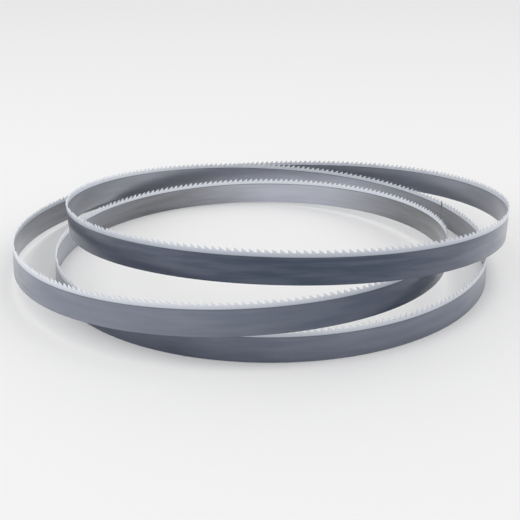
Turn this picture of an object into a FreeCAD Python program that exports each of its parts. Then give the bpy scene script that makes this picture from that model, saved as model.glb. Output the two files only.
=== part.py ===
import FreeCAD, Part
import math
import os

# Band saw blade, coiled in three turns with its teeth upwards.
#
# The blade is one endless steel band. Its back edge is the lower one and its teeth are cut
# in the upper one. They are bent out, bent in and left straight by turns, so that the cut
# comes out wider than the band.
# Axes: +Z up, the middle of the coil's footprint on the Z axis, the lowest edge on Z = 0.

doc = FreeCAD.newDocument("BandSawBlade")
sheet = doc.addObject("Spreadsheet::Sheet", "sizes")

sizes = [
    ("band_width", "27"),        # back edge to tooth tips
    ("band_thickness", "0.9"),
    ("coil_radius", "197"),      # the coil lies about this far from its middle
    ("stack_clearance", "1.6"),  # left free where one turn stands on another
    ("tooth_pitch", "5.7"),      # aimed for: a whole number of sets of teeth goes round
    ("tooth_depth", "2.7"),      # tips to the floor of the gullets
    ("tooth_set", "0.4"),        # how far a bent tip stands out of the band
    ("relief_drop", "0.22"),     # fall of the relief behind the tip, as a share of the depth
    # Shares of the pitch, from the foot of the cutting face
    ("overhang", "0.06"),        # the tip stands this far before its foot
    ("relief_end", "0.20"),
    ("back_foot", "0.70"),       # where the tooth's back meets the floor of the gullet
]

# Where the back edge passes on each side of each turn: how far out, as a share of the
# coil radius, how high, in storeys of one band width with its clearance, and by how many
# degrees the band leans outwards. Left, front, right and back are -X, -Y, +X and +Y.
stations = [
    ("one_left", "0.92", "1.45", "3"),
    ("one_front", "1.00", "2.28", "-8"),
    ("one_right", "1.135", "1.31", "2"),
    ("one_back", "1.17", "0.08", "3"),
    ("two_left", "1.19", "0.33", "-3"),
    ("two_front", "1.04", "1.02", "-8"),
    ("two_right", "0.83", "0.60", "2"),
    ("two_back", "0.84", "0.08", "2"),
    ("three_left", "0.99", "0.01", "-4"),
    ("three_front", "1.00", "0.01", "-3"),
    ("three_right", "1.06", "0.00", "-2"),
    ("three_back", "1.04", "0.29", "1"),
]

row = 1
for name, value in sizes:
    sheet.set("A%d" % row, name)
    sheet.set("B%d" % row, value)
    sheet.setAlias("B%d" % row, name)
    row += 1
for name, reach, lift, lean in stations:
    sheet.set("A%d" % row, name)
    for column, word, value in (("B", "reach_", reach), ("C", "lift_", lift), ("D", "lean_", lean)):
        sheet.set("%s%d" % (column, row), value)
        sheet.setAlias("%s%d" % (column, row), word + name)
    row += 1
doc.recompute()

# Course of the band

QUARTER = 90.0                      # degrees from one station to the next
FULL = QUARTER * len(stations)      # the band goes round three times before it closes

storey = sheet.band_width + sheet.stack_clearance
course_points = []
for name, reach, lift, lean in stations:
    course_points.append(FreeCAD.Vector(
        sheet.get("reach_" + name) * sheet.coil_radius,
        sheet.get("lift_" + name) * storey,
        sheet.get("lean_" + name)))

# One smooth curve carries all three: its X is the reach, its Y the height and its Z the
# lean, and its parameter is the angle travelled. It goes round the stations three times, and
# the middle round is the band's, because it is as smooth where it closes as elsewhere.
course = Part.BSplineCurve()
course.interpolate(
    Points=course_points * 3,
    Parameters=[QUARTER * i for i in range(3 * len(stations) + 1)],
    PeriodicFlag=True)


def band_point(angle, up, side):
    """Point of the band: up from its back edge, and side outwards from its mid-plane."""
    turn = math.radians(180 + angle)
    away = FreeCAD.Vector(math.cos(turn), math.sin(turn), 0)
    along = FreeCAD.Vector(-math.sin(turn), math.cos(turn), 0)
    here, change = course.getD1(FULL + angle % FULL)
    travel = away * change.x + along * math.radians(here.x) + FreeCAD.Vector(0, 0, change.y)
    travel.normalize()
    upright = FreeCAD.Vector(0, 0, 1) - travel * travel.z
    upright.normalize()
    outward = travel.cross(upright)
    lean = math.radians(here.z)
    width_way = upright * math.cos(lean) + outward * math.sin(lean)
    face_way = outward * math.cos(lean) - upright * math.sin(lean)
    foot = away * here.x + FreeCAD.Vector(0, 0, here.y)
    return foot + width_way * up + face_way * side


# The teeth are spaced evenly along the middle of the band

POINTS_ROUND = 144
angles = [FULL * i / POINTS_ROUND for i in range(POINTS_ROUND + 1)]
middle = Part.BSplineCurve()
middle.interpolate(
    Points=[band_point(angle, sheet.band_width / 2, 0) for angle in angles[:-1]],
    Parameters=angles,
    PeriodicFlag=True)
length = middle.length()

SET_PATTERN = (1, -1, 0)            # bent out, bent in, left straight

sets_round = int(round(length / (sheet.tooth_pitch * len(SET_PATTERN))))
teeth = sets_round * len(SET_PATTERN)
pitch = length / teeth


def cross_section(pitches, up):
    """Inner and outer point of the band, so many pitches along it."""
    angle = middle.parameterAtDistance(pitch * pitches, 0.0)
    half = sheet.band_thickness / 2
    return band_point(angle, up, -half), band_point(angle, up, half)


floor_up = sheet.band_width - sheet.tooth_depth
edges = [cross_section(i, 0) for i in range(teeth)]
feet = [cross_section(i, floor_up) for i in range(teeth)]

# Skin of the band, one pitch after the other. Each tooth is flat: it stands on the straight
# length of band below it, and bends to its side from the floor of the gullets upwards.

faces = []


def add_across(start, end):
    """Face over the thickness of the band, between two pairs of points."""
    faces.append(Part.makeRuledSurface(Part.makeLine(start[0], end[0]), Part.makeLine(start[1], end[1])))


relief_left = 1 - sheet.relief_drop
for i in range(teeth):
    bend = SET_PATTERN[i % len(SET_PATTERN)] * sheet.tooth_set
    edge, foot = edges[i], feet[i]
    next_edge, next_foot = edges[(i + 1) % teeth], feet[(i + 1) % teeth]
    tip, heel, root = [], [], []
    for face in (0, 1):
        along = next_foot[face] - foot[face]
        up = (foot[face] - edge[face]).normalize()
        outward = along.cross(up).normalize()
        rise = up * sheet.tooth_depth + outward * bend
        tip.append(foot[face] - along * sheet.overhang + rise)
        heel.append(foot[face] + along * sheet.relief_end + rise * relief_left)
        root.append(foot[face] + along * sheet.back_foot)
        wall = (Part.makeLine(edge[face], next_edge[face]), Part.makeLine(foot[face], next_foot[face]))
        faces.append(Part.makeRuledSurface(wall[0], wall[1]))
        outline = Part.makePolygon([foot[face], tip[face], heel[face], root[face], foot[face]])
        faces.append(Part.Face(outline))
    add_across(edge, next_edge)
    add_across(foot, tip)
    add_across(tip, heel)
    add_across(heel, root)
    add_across(root, next_foot)

skin = Part.makeCompound(faces)
skin.sewShape(0.001)
solid = Part.makeSolid(skin)

# The coil stands on the floor, with its footprint centred

box = solid.optimalBoundingBox(False, False)
blade = doc.addObject("Part::Feature", "blade")
blade.Label = "blade"
blade.Shape = solid
blade.Placement.Base = FreeCAD.Vector(-box.Center.x, -box.Center.y, -box.ZMin)

doc.recompute()
for item in (sheet, blade):
    if "Invalid" in item.State or "Error" in item.State:
        raise RuntimeError(item.Label + " did not recompute")
if blade.Shape.isNull() or not blade.Shape.isValid():
    raise RuntimeError("the blade is not a valid solid")

os.makedirs("parts", exist_ok=True)
blade.Shape.exportStep("parts/blade.step")
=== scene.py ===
# %% [markdown]
# # A band saw blade, coiled in three turns
#
# A band saw blade is one endless ribbon of steel. It is rolled flat, its teeth are ground
# and bent to the sides, and its ends are welded together. For storage it is twisted into
# three turns, and it stays in them by its own spring.
#
# Here it is made in the same order. One set of three teeth is modelled flat, the set is
# repeated until the band has its full length, and the flat band is then laid on the coil.

# %% Tools and the measured frame
import math

import bmesh
import bpy
import numpy as np
from mathutils import Matrix, Vector


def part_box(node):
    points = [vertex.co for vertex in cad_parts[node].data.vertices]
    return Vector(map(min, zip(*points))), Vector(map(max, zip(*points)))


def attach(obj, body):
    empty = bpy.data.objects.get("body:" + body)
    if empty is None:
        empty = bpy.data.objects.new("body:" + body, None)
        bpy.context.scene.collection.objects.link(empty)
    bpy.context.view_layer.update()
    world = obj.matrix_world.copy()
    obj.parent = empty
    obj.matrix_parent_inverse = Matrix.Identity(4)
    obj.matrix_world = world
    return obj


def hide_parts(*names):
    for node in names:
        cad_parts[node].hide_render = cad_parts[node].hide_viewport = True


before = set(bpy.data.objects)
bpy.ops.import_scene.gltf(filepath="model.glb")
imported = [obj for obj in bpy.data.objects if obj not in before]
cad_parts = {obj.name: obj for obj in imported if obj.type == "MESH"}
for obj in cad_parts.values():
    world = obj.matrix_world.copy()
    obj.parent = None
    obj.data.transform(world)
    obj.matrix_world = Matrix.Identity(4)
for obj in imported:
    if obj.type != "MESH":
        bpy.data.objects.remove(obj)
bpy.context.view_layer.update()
scene = bpy.context.scene
scene.view_settings.view_transform = "Standard"

# %% [markdown]
# ## Sizes of the band
#
# The blade is of a common width for cutting metal, 27 mm, with teeth about 5.7 mm apart.
# Everything along the band is counted in pitches, from the foot of a cutting face, and
# everything across it from the back edge upwards. A tooth is so small beside a metre that
# the mesh tools would round its corners badly, so the flat band is modelled in millimetres
# and becomes metres only when it is laid on the coil.

# %% Sizes, in millimetres
BAND_WIDTH = 27             # back edge to tooth tips
BAND_THICKNESS = 0.9
COIL_RADIUS = 197
STACK_CLEARANCE = 1.6       # left free where one turn stands on another
TOOTH_PITCH = 5.7           # aimed for: a whole number of sets goes round
TOOTH_DEPTH = 2.7
TOOTH_SET = 0.4             # how far a bent tip stands out
SET_PATTERN = (1, -1, 0)    # bent out, bent in, left straight

# Shares of the tooth's depth and of its pitch
RELIEF_DROP = 0.22          # fall of the relief behind the tip
OVERHANG = 0.06             # the tip stands this far before its foot
RELIEF_END = 0.20
BACK_FOOT = 0.70            # where the tooth's back meets the floor of the gullet

FLOOR_UP = BAND_WIDTH - TOOTH_DEPTH
STOREY = BAND_WIDTH + STACK_CLEARANCE
METRES = 0.001              # metres in a millimetre
CLOSE = 0.01                # points nearer than this are one point
print("band: %g mm wide, %g mm thick" % (BAND_WIDTH, BAND_THICKNESS))

# %% [markdown]
# ## The course of the coil
#
# The coil is drawn by what the band does at each side of each turn: how far out it passes,
# how high, and how much it leans. A curve through these twelve stations could be drawn by
# hand in the editor, but a closed cubic spline finds the smoothest way between them by
# itself, as springy steel does. Its bends at the stations follow from one small set of
# equations, because left, front, right and back of each turn are all 90 degrees apart.

# %% Stations of the coil
# Reach as a share of the coil radius, lift in storeys, lean outwards in degrees
STATIONS = np.array([
    (0.92, 1.45, 3), (1.00, 2.28, -8), (1.135, 1.31, 2), (1.17, 0.08, 3),
    (1.19, 0.33, -3), (1.04, 1.02, -8), (0.83, 0.60, 2), (0.84, 0.08, 2),
    (0.99, 0.01, -4), (1.00, 0.01, -3), (1.06, 0.00, -2), (1.04, 0.29, 1),
])
COURSE = STATIONS * (COIL_RADIUS, STOREY, math.radians(1))
QUARTER = math.radians(90)
FULL = QUARTER * len(COURSE)

each = np.eye(len(COURSE))
neighbours = np.roll(each, 1, 0) + np.roll(each, -1, 0)
kinks = np.roll(COURSE, -1, 0) - 2 * COURSE + np.roll(COURSE, 1, 0)
BENDS = np.linalg.solve(4 * each + neighbours, 6 * kinks)
print("coil: %d stations in %d turns" % (len(COURSE), round(FULL / (2 * math.pi))))


def course_at(angle):
    """Reach, height and lean at an angle round the coil, and how fast each changes."""
    quarters = (angle % FULL) / QUARTER
    here = np.minimum(quarters.astype(int), len(COURSE) - 1)
    after = (here + 1) % len(COURSE)
    share = (quarters - here)[:, None]
    rest = 1 - share
    value = (rest * COURSE[here] + share * COURSE[after]
             + (rest**3 - rest) * BENDS[here] / 6 + (share**3 - share) * BENDS[after] / 6)
    change = (COURSE[after] - COURSE[here]
              + (1 - 3 * rest**2) * BENDS[here] / 6 + (3 * share**2 - 1) * BENDS[after] / 6)
    return value, change / QUARTER


def on_band(angle, up, side):
    """Points of the coiled band: up from its back edge, and side outwards from its middle."""
    turn = math.pi + angle
    zero, one = np.zeros_like(turn), np.ones_like(turn)
    away = np.stack([np.cos(turn), np.sin(turn), zero], 1)
    along = np.stack([-np.sin(turn), np.cos(turn), zero], 1)
    sky = np.stack([zero, zero, one], 1)
    value, change = course_at(angle)
    reach, height, lean = np.split(value, 3, axis=1)
    reach_change, height_change, _ = np.split(change, 3, axis=1)
    travel = away * reach_change + along * reach + sky * height_change
    travel /= np.linalg.norm(travel, axis=1)[:, None]
    upright = sky - travel * travel[:, 2:]
    upright /= np.linalg.norm(upright, axis=1)[:, None]
    outward = np.cross(travel, upright)
    width_way = upright * np.cos(lean) + outward * np.sin(lean)
    face_way = outward * np.cos(lean) - upright * np.sin(lean)
    return away * reach + sky * height + width_way * up[:, None] + face_way * side[:, None]


# %% [markdown]
# ## Length of the band and number of teeth
#
# Teeth are spaced evenly along the middle of the band, and a whole number of sets of three
# goes round, so the pitch is changed a very little until the last set meets the first.

# %% Measure the band
FINE_STEPS = 7200
fine_angles = np.linspace(0, FULL, FINE_STEPS + 1)
zeros = np.zeros(FINE_STEPS + 1)
middle_line = on_band(fine_angles, zeros + BAND_WIDTH / 2, zeros)
steps_along = np.diff(middle_line, axis=0, prepend=middle_line[:1])
distance_at = np.cumsum(np.linalg.norm(steps_along, axis=1))
LENGTH = float(distance_at[-1])
SETS_ROUND = round(LENGTH / (TOOTH_PITCH * len(SET_PATTERN)))
PITCH = LENGTH / (SETS_ROUND * len(SET_PATTERN))
print("band %.1f mm long, %d sets of teeth, pitch %.3f mm" % (LENGTH, SETS_ROUND, PITCH))

# %% [markdown]
# ## Side of one tooth
#
# A saw tooth is a profile with a steep cutting face, a short relief behind the tip, and a
# back that runs down into a round gullet where the chips curl up. It could be cut out of a
# plate, but here it is drawn: a line of six points, and a vertex bevel rounds the two
# corners at the floor of the gullet, as the grinding wheel does. The line is closed to a
# face just below the gullets, and that face's lower edge is pulled down to the back edge.

# %% Outline of a tooth and the body below it
GULLET_ROUND = 0.13 * PITCH
GULLET_STEPS = 4
HALF_GULLET = (1 - BACK_FOOT) / 2
ROOT_BELOW = 1              # the outline is closed this far below the gullets
ROOT_UP = FLOOR_UP - ROOT_BELOW


def points_of(geometry):
    return [item for item in geometry if isinstance(item, bmesh.types.BMVert)]


profile = [
    (-HALF_GULLET, 0), (0, 0), (-OVERHANG, 1), (RELIEF_END, 1 - RELIEF_DROP),
    (BACK_FOOT, 0), (1 - HALF_GULLET, 0),
]
outline = [(along, FLOOR_UP + rise * TOOTH_DEPTH) for along, rise in profile]
outline += [(1 - HALF_GULLET, ROOT_UP), (-HALF_GULLET, ROOT_UP)]

teeth = bmesh.new()
corners = [teeth.verts.new((along * PITCH, -BAND_THICKNESS / 2, up)) for along, up in outline]
lines = [teeth.edges.new((corners[number - 1], corner)) for number, corner in enumerate(corners)]
root_line = lines[-1]
gullet_corners = [corners[1], corners[4]]
bmesh.ops.bevel(teeth, geom=gullet_corners, offset=GULLET_ROUND, segments=GULLET_STEPS,
                profile=0.5, affect="VERTICES", material=-1)
bmesh.ops.contextual_create(teeth, geom=list(teeth.edges))
pulled = bmesh.ops.extrude_edge_only(teeth, edges=[root_line])["geom"]
bmesh.ops.translate(teeth, vec=(0, 0, -ROOT_UP), verts=points_of(pulled))
print("side of a tooth:", len(teeth.verts), "points,", len(teeth.faces), "faces")

# %% [markdown]
# ## Thickness and back edge
#
# Pulling the whole side across gives the plate its thickness, and its two cut ends are left
# open, to be joined to the next tooth. The back edge runs against the saw's guides, and a
# small bevel takes off its corners. That comes before any tooth is repeated, because a bevel
# is surest on an edge in one piece.

# %% One pitch of band
BACK_ROUND = 0.22
BACK_STEPS = 2

across = bmesh.ops.extrude_face_region(teeth, geom=list(teeth.faces))["geom"]
bmesh.ops.translate(teeth, vec=(0, BAND_THICKNESS, 0), verts=points_of(across))
cut_ends = [
    face for face in teeth.faces
    for end in (-HALF_GULLET * PITCH, (1 - HALF_GULLET) * PITCH)
    if all(abs(point.co.x - end) < CLOSE for point in face.verts)]
bmesh.ops.delete(teeth, geom=cut_ends, context="FACES")

back_corners = [
    edge for edge in teeth.edges
    if all(abs(point.co.z) < CLOSE for point in edge.verts)
    and abs(edge.verts[0].co.y - edge.verts[1].co.y) < CLOSE]
bmesh.ops.bevel(teeth, geom=back_corners, offset=BACK_ROUND, segments=BACK_STEPS,
                profile=0.5, affect="EDGES", material=-1)
print("one pitch:", len(teeth.faces), "faces,", len(back_corners), "corners taken off")

# %% [markdown]
# ## A set of three teeth
#
# A setting machine bends one tooth out, the next one in, and leaves the third straight, so
# that the cut comes out wider than the band. The bend begins at the floor of the gullet, so
# each tooth is sheared from there upwards.

# %% A set of teeth


def repeat_along(band, step, copies):
    """Repeats all of the band so many times along itself: a spin with no turn in it."""
    bmesh.ops.spin(band, geom=list(band.verts) + list(band.edges) + list(band.faces),
                   cent=(0, 0, 0), axis=(0, 0, 1), dvec=(step, 0, 0), angle=0,
                   steps=copies, use_duplicate=True)
    bmesh.ops.remove_doubles(band, verts=band.verts, dist=CLOSE)


repeat_along(teeth, PITCH, len(SET_PATTERN) - 1)
to_floor = Matrix.Translation((0, 0, FLOOR_UP))
for number, bend in enumerate(SET_PATTERN):
    shear = Matrix.Identity(4)
    shear[1][2] = bend * TOOTH_SET / TOOTH_DEPTH
    tooth = [point for point in teeth.verts
             if point.co.z > FLOOR_UP + CLOSE
             and number - HALF_GULLET < point.co.x / PITCH < number + 1 - HALF_GULLET]
    bmesh.ops.transform(teeth, matrix=to_floor @ shear @ to_floor.inverted(), verts=tooth)
print("set of teeth:", len(teeth.faces), "faces")

# %% [markdown]
# ## Full length of flat band
#
# An Array modifier could repeat the set too, but then the points couldn't be laid on the
# coil one by one. The UV map is written while the band is still flat: its first number is
# the distance along the band and its second the height above the back edge, both in
# millimetres, so grain and marks can later be given their true sizes. Faces that will look
# into the coil are marked as well, to be given painted light: lighter shades of the steel.

# %% Flat band
repeat_along(teeth, len(SET_PATTERN) * PITCH, SETS_ROUND - 1)
bmesh.ops.recalc_face_normals(teeth, faces=teeth.faces)
band_map = teeth.loops.layers.uv.new("band_map")
inward = teeth.faces.layers.float.new("inward")
for face in teeth.faces:
    face.smooth = True
    face[inward] = float(face.normal.y < -0.5)
    for loop in face.loops:
        loop[band_map].uv = loop.vert.co.x, loop.vert.co.z
print("flat band:", len(teeth.faces), "faces")

# %% [markdown]
# ## Laying the band on the coil
#
# Each point keeps its height and its side, and its distance along the band is turned into
# an angle round the coil. A Curve modifier bends a strip in much the same way, but it can't
# follow the lean. The two ends then lie on each other, and merging them closes the band.

# %% Coiled band
flat = np.array([point.co for point in teeth.verts])
coil_angle = np.interp(flat[:, 0] % LENGTH, distance_at, fine_angles)
coiled = on_band(coil_angle, flat[:, 2], flat[:, 1]) * METRES
low, high = (np.array(corner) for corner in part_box("blade"))
shift = (low + high) / 2 - (coiled.min(0) + coiled.max(0)) / 2
shift[2] = low[2] - coiled[:, 2].min()
for point, place in zip(teeth.verts, coiled + shift):
    point.co = place
bmesh.ops.remove_doubles(teeth, verts=teeth.verts, dist=3 * CLOSE * METRES)
bmesh.ops.recalc_face_normals(teeth, faces=teeth.faces)
open_edges = sum(not edge.is_manifold for edge in teeth.edges)

mesh = bpy.data.meshes.new("toothed_band")
teeth.to_mesh(mesh)
teeth.free()
CRISP_ANGLE = math.radians(35)
mesh.set_sharp_from_angle(angle=CRISP_ANGLE)
toothed_band = bpy.data.objects.new("toothed_band", mesh)
scene.collection.objects.link(toothed_band)
print("coiled band:", len(mesh.vertices), "points,", len(mesh.polygons), "faces,",
      open_edges, "open edges, shifted by", [round(float(way) / METRES, 2) for way in shift], "mm")

# %% [markdown]
# ## Arithmetic for finishes
#
# A finish is a recipe of numbers that change over the surface. In the node editor each sum
# is a Math node. The small class below lets such sums be written as plain expressions, and
# its `node` partner adds any other node with its settings and its sockets.

# %% Helpers for the shader
class Signal:
    """A number that changes over the surface. Ordinary arithmetic on it adds Math nodes."""

    def __init__(self, finish, socket):
        self.finish = finish
        self.socket = socket

    def math(self, operation, *numbers):
        return self.finish.node("ShaderNodeMath", {"operation": operation},
                                dict(enumerate((self,) + numbers)))

    def __add__(self, other):
        return self.math("ADD", other)

    def __sub__(self, other):
        return self.math("SUBTRACT", other)

    def __rsub__(self, other):
        return self.finish.node("ShaderNodeMath", {"operation": "SUBTRACT"}, {0: other, 1: self})

    def __mul__(self, other):
        return self.math("MULTIPLY", other)

    def __truediv__(self, other):
        return self.math("DIVIDE", other)

    __radd__ = __add__
    __rmul__ = __mul__


class Finish:
    """A material, and one method that adds a node to it."""

    def __init__(self, name):
        self.material = bpy.data.materials.new(name)
        self.material.use_nodes = True
        self.tree = self.material.node_tree
        self.tree.nodes.clear()

    def node(self, kind, settings=None, sockets=None, output=0):
        made = self.tree.nodes.new(kind)
        for name, value in (settings or {}).items():
            setattr(made, name, value)
        for name, value in (sockets or {}).items():
            if isinstance(value, Signal):
                self.tree.links.new(value.socket, made.inputs[name])
            else:
                made.inputs[name].default_value = value
        return Signal(self, made.outputs[output]) if made.outputs else made

    def step(self, value, start, end):
        """Rises softly from 0 to 1 while the value goes from start to end."""
        return self.node("ShaderNodeMapRange", {"interpolation_type": "SMOOTHSTEP"},
                         {"Value": value, "From Min": start, "From Max": end})

    def mix(self, share, first, second):
        """Goes from the first colour to the second as the share goes from 0 to 1."""
        # The node's colour sockets are its inputs 6 and 7 and its output 2
        return self.node("ShaderNodeMix", {"data_type": "RGBA"},
                         {"Factor": share, 6: first, 7: second}, output=2)


# %% [markdown]
# ## Patterns in the steel
#
# The band is rolled, hardened and tempered, and rolling and grinding leave their traces.
# Rolling leaves a fine grain that runs along it: noise stretched a hundred times. The wheel
# that grinds the teeth leaves upright marks on the margin: noise squeezed instead. Oil lies
# on it in long streaks. Painted light and shade change slowly along it, over half a metre or
# so: a slow noise, placed so that the band is lighter and darker where light and shade fall
# on the coil.
# The band has no end, so that noise is read round a circle as long as the band, and it
# meets itself without a step.

# %% Grain, marks and painted shade
steel = Finish("band_steel")
where = steel.node("ShaderNodeUVMap", {"uv_map": "band_map"})
along_band, up_band = (
    steel.node("ShaderNodeSeparateXYZ", sockets={"Vector": where}, output=way) for way in "XY")


def flat_noise(across, upwards, detail, roughness):
    """Noise read at a place given by two signals, each counted in grains."""
    place = steel.node("ShaderNodeCombineXYZ", sockets={"X": across, "Y": upwards})
    return steel.node("ShaderNodeTexNoise", {"noise_dimensions": "2D"}, {
        "Vector": place, "Scale": 1.0, "Detail": detail, "Roughness": roughness})


def band_noise(long, high, detail, roughness):
    """Noise on the flat band, its grains so many millimetres long and high."""
    return flat_noise(along_band / long, up_band / high, detail, roughness)


rolling_grain = band_noise(long=18, high=0.15, detail=3, roughness=0.6)
grinding_marks = band_noise(long=0.2, high=8, detail=2, roughness=0.5)
streaks = steel.step(band_noise(long=55, high=5, detail=3, roughness=0.55),
                     start=0.3, end=0.7)

# Painted light and shade: a slow noise whose light and dark stretches are placed where light and
# shade fall on the coil
PAINTED_LIGHT_CIRCLE = 1.93            # radius of the circle, in grains of the slow noise
PAINTED_LIGHT_PLACE = (17.14, 3.90)    # its middle
PAINTED_LIGHT_START = 0.84             # where the band begins on it, in radians
round_band = along_band * (2 * math.pi / LENGTH) + PAINTED_LIGHT_START
painted_light_noise = flat_noise(round_band.math("COSINE") * PAINTED_LIGHT_CIRCLE + PAINTED_LIGHT_PLACE[0],
                    round_band.math("SINE") * PAINTED_LIGHT_CIRCLE + PAINTED_LIGHT_PLACE[1],
                    detail=1, roughness=0.5)
painted_light_shade = steel.step(painted_light_noise, start=0.20, end=0.75)
print("patterns:", len(steel.tree.nodes), "nodes")

# %% [markdown]
# ## Margin and welds
#
# The margin that carries the teeth is a narrow strip of harder steel, welded on along the
# whole band, and a thin dark line shows where. One more dark line runs right across the
# band, where its two ends were welded together; it shows best on the bright margin. Each is
# a mask, 1 on the line and 0 beside it, made from the distance to the middle of the line.

# %% Masks of the margin and the welds
MARGIN_UP = 21.1                # the margin begins here
BUTT_ALONG = 3250               # the band's ends meet here


def line_at(distance, core, edge):
    """Mask of a line: 1 in its core, falling to 0 at its edge, both in millimetres."""
    return 1 - steel.step(distance.math("ABSOLUTE"), core, edge)


# Faces that look into the coil, where lighter shades are painted in as painted light
painted_lit_inside = steel.node("ShaderNodeAttribute", {"attribute_name": "inward"}, output="Fac")
margin = steel.step(up_band, start=MARGIN_UP - 0.1, end=MARGIN_UP + 0.3)
weld_line = line_at(up_band - MARGIN_UP, core=0.15, edge=0.75)
butt_line = line_at(along_band - BUTT_ALONG, core=0.6, edge=1.6)
print("masks:", len(steel.tree.nodes), "nodes")

# %% [markdown]
# ## Colours of the steel
#
# The body is blue grey and satin, with painted light and shade running slowly along it. The
# margin is ground bright, and brightest at the tips. The faces that look into the coil have
# lighter shades of both: painted light, for the light that falls on them there. Each colour
# goes between a dark and a light shade, and the masks choose between the colours.

# %% Colours of the band
BODY_DARK = (0.038, 0.054, 0.090, 1)
BODY_LIGHT = (0.255, 0.276, 0.342, 1)
# Painted light: lighter shades for the faces that look into the coil, standing in for the light
# that falls on them
INSIDE_PAINTED_LIT_DARK = (0.150, 0.152, 0.152, 1)
INSIDE_PAINTED_LIT_LIGHT = (0.57, 0.59, 0.67, 1)
MARGIN_DARK = (0.32, 0.36, 0.44, 1)
MARGIN_LIGHT = (0.92, 0.94, 0.98, 1)
MARGIN_INSIDE_PAINTED_LIT_DARK = (0.66, 0.70, 0.78, 1)
MARGIN_INSIDE_PAINTED_LIT_LIGHT = (0.95, 0.96, 0.98, 1)
WELD_SHADE = (0.045, 0.050, 0.065, 1)
WELD_SHARE = 0.5                # how much of the weld's shade covers the steel
BUTT_ON_BODY, BUTT_MORE_ON_MARGIN = 0.15, 0.75

# How far each part of the band is from its dark shade to its light one
# Mostly painted light and shade, with a little of the real oil streaks and rolling grain
painted_shade_and_grain = painted_light_shade * 0.8 + streaks * 0.1 + rolling_grain * 0.1
ground = steel.step(up_band, start=MARGIN_UP, end=BAND_WIDTH) * 0.6 + grinding_marks * 0.3
body_colour = steel.mix(
    painted_lit_inside, steel.mix(painted_shade_and_grain, BODY_DARK, BODY_LIGHT),
    steel.mix(painted_shade_and_grain, INSIDE_PAINTED_LIT_DARK, INSIDE_PAINTED_LIT_LIGHT))
# The outer margin takes a share of the painted light and shade as well
margin_colour = steel.mix(
    painted_lit_inside, steel.mix(ground * 0.7 + painted_light_shade * 0.3, MARGIN_DARK, MARGIN_LIGHT),
    steel.mix(ground, MARGIN_INSIDE_PAINTED_LIT_DARK, MARGIN_INSIDE_PAINTED_LIT_LIGHT))
steel_colour = steel.mix(margin, body_colour, margin_colour)
steel_colour = steel.mix(weld_line * WELD_SHARE, steel_colour, WELD_SHADE)
steel_colour = steel.mix(butt_line * (BUTT_ON_BODY + margin * BUTT_MORE_ON_MARGIN),
                         steel_colour, WELD_SHADE)
print("colours:", len(steel.tree.nodes), "nodes")

# %% [markdown]
# ## Shine of the steel
#
# Grain and grinding marks are far too small to model, so a Bump node tilts the light a
# little where they are. The steel is metallic, the ground margin less so, because its fine
# scratches scatter light like a pale coat of paint. A thin film of oil keeps off rust. It is
# a clear coat, thicker in the streaks, and shines most where the band is seen at a slant.

# %% Shine of the band
BODY_ROUGHNESS, GRAIN_ROUGHNESS, MARGIN_ROUGHNESS = 0.36, 0.10, 0.10
RELIEF_STRENGTH = 0.25
RELIEF_DEPTH = 0.02             # millimetres
MARGIN_SCATTER = 0.5
OIL_FILM, OIL_STREAKS, OIL_ROUGHNESS = 0.5, 0.3, 0.2

roughness = BODY_ROUGHNESS + rolling_grain * GRAIN_ROUGHNESS + margin * MARGIN_ROUGHNESS
height = rolling_grain * (1 - margin) + grinding_marks * margin
relief = steel.node("ShaderNodeBump", sockets={
    "Strength": RELIEF_STRENGTH, "Distance": RELIEF_DEPTH * METRES, "Height": height})
shader = steel.node("ShaderNodeBsdfPrincipled", sockets={
    "Base Color": steel_colour, "Metallic": 1 - margin * MARGIN_SCATTER,
    "Roughness": roughness, "Coat Weight": OIL_FILM + streaks * OIL_STREAKS,
    "Coat Roughness": OIL_ROUGHNESS, "Normal": relief})
steel.node("ShaderNodeOutputMaterial", sockets={"Surface": shader})
toothed_band.data.materials.append(steel.material)

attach(toothed_band, "root")
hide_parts("blade")
print("steel:", len(steel.tree.nodes), "nodes")

# %% [markdown]
# ## Floor
#
# The blade lies on a plain pale floor that runs on behind it, so it is made very wide: one
# flat disc. It keeps the soft shadow that shows how the coil stands on its lowest turn.

# %% Floor
FLOOR_RADIUS = 30
FLOOR_SHADE = 0.84

floor_mesh = bpy.data.meshes.new("floor")
floor_shape = bmesh.new()
bmesh.ops.create_circle(floor_shape, cap_ends=True, segments=64, radius=FLOOR_RADIUS)
floor_shape.to_mesh(floor_mesh)
floor_shape.free()
floor = bpy.data.objects.new("floor", floor_mesh)
scene.collection.objects.link(floor)
paper = Finish("floor_paper")
paper_shader = paper.node("ShaderNodeBsdfDiffuse", sockets={
    "Color": (FLOOR_SHADE, FLOOR_SHADE, FLOOR_SHADE, 1)})
paper.node("ShaderNodeOutputMaterial", sockets={"Surface": paper_shader})
floor.data.materials.append(paper.material)
print("floor:", 2 * FLOOR_RADIUS, "m wide")

# %% [markdown]
# ## Light
#
# Polished steel has no look of its own and shows what is round it, so the light is soft and
# comes from all sides: an even sky, a wide lamp above, and a soft panel high on each side.

# %% Lamps and sky
SKY_STRENGTH = 0.92

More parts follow.
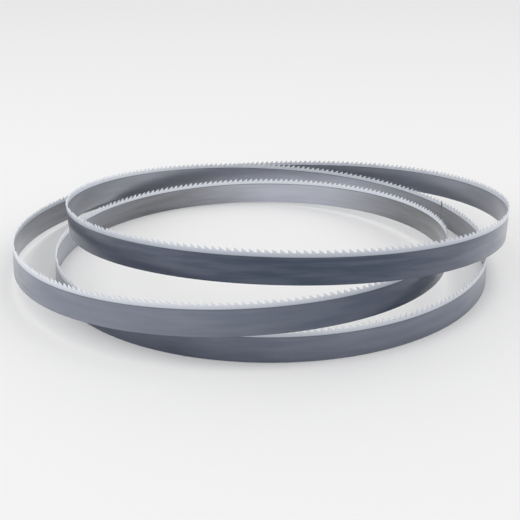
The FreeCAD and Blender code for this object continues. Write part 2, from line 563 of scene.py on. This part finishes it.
sky = bpy.data.worlds.new("sky")
scene.world = sky
sky.use_nodes = True
sky_light = sky.node_tree.nodes["Background"]
sky_light.inputs["Color"].default_value = (1, 1, 1, 1)
sky_light.inputs["Strength"].default_value = SKY_STRENGTH


def soft_panel(name, place, target, width, height, power):
    """A rectangular lamp that faces its target."""
    lamp = bpy.data.lights.new(name, "AREA")
    lamp.shape = "RECTANGLE"
    lamp.size, lamp.size_y, lamp.energy = width, height, power
    panel = bpy.data.objects.new(name, lamp)
    panel.location = place
    panel.rotation_euler = (Vector(target) - Vector(place)).to_track_quat("-Z", "Y").to_euler()
    scene.collection.objects.link(panel)


# The top light looks a hair off straight down, so that it has a front and a back
soft_panel("top_light", place=(0, 0, 1.8), target=(0, 0.001, 0),
           width=1.6, height=1.6, power=3.4)
soft_panel("panel_left", place=(-1.5, -0.5, 0.9), target=(0, 0, 0.05),
           width=1.4, height=1.0, power=4.0)
soft_panel("panel_right", place=(1.6, -0.2, 0.9), target=(0, 0, 0.05),
           width=1.4, height=1.0, power=1.8)

# %% [markdown]
# ## Camera
#
# The camera looks down on the coil from the front at about 23 degrees, from less than a
# metre away, so the far side of the coil looks clearly smaller than the near side.

# %% Camera
CAMERA_AWAY = 0.8855
CAMERA_LIFT = math.radians(23.11)
CAMERA_TURN = math.radians(-2.49)
AIM = Vector((0.0005, 0, -0.0039))
FOCAL_PIXELS = 906
PICTURE_PIXELS = 520
SENSOR_WIDTH = 36           # millimetres

camera_data = bpy.data.cameras.new("camera")
camera_data.sensor_width = SENSOR_WIDTH
camera_data.lens = FOCAL_PIXELS / PICTURE_PIXELS * SENSOR_WIDTH
camera = bpy.data.objects.new("camera", camera_data)
scene.collection.objects.link(camera)
turn_round = Matrix.Rotation(CAMERA_TURN, 3, "Z")
back_and_up = Vector((0, -math.cos(CAMERA_LIFT), math.sin(CAMERA_LIFT))) * CAMERA_AWAY
camera.location = turn_round @ (AIM + back_and_up)
camera.rotation_euler = (turn_round @ -back_and_up).to_track_quat("-Z", "Y").to_euler()
scene.camera = camera
print("lens: %.1f mm" % camera_data.lens)
